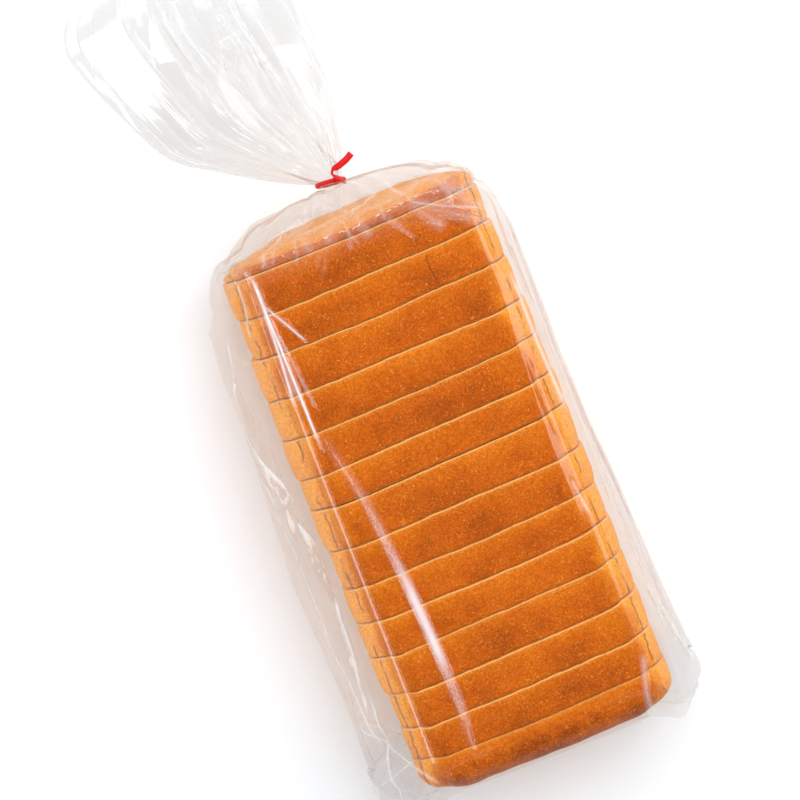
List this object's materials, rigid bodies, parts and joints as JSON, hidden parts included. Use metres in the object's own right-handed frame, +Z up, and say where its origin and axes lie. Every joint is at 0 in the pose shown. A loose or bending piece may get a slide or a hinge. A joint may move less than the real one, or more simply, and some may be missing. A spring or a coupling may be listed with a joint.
{
  "type": "sliced loaf of bread in a clear bag",
  "caption": "Sliced tin loaf in a clear film bag, gathered at the neck with a red twist tie and ending in a pleated fan of film.",
  "frame": {"origin": "centre of the loaf's flat base, on the surface it rests on", "axes": "+Z up, +Y along the loaf towards the tied neck, +X to the right as seen from the closed near end"},
  "size_m": [0.1572, 0.3724, 0.114],
  "materials": {
    "clear_film": "clear glossy low-density polythene film, thin and creased",
    "red_tie": "red polythene ribbon over a thin wire",
    "crust": "browned bread crust, finely grained, paler at the shoulders and sides",
    "crumb": "pale open bread crumb on the cut faces"
  },
  "bodies": {
    "root": {"bread_bag": "clear_film", "twist_tie": "red_tie"}
  },
  "joints": []
}
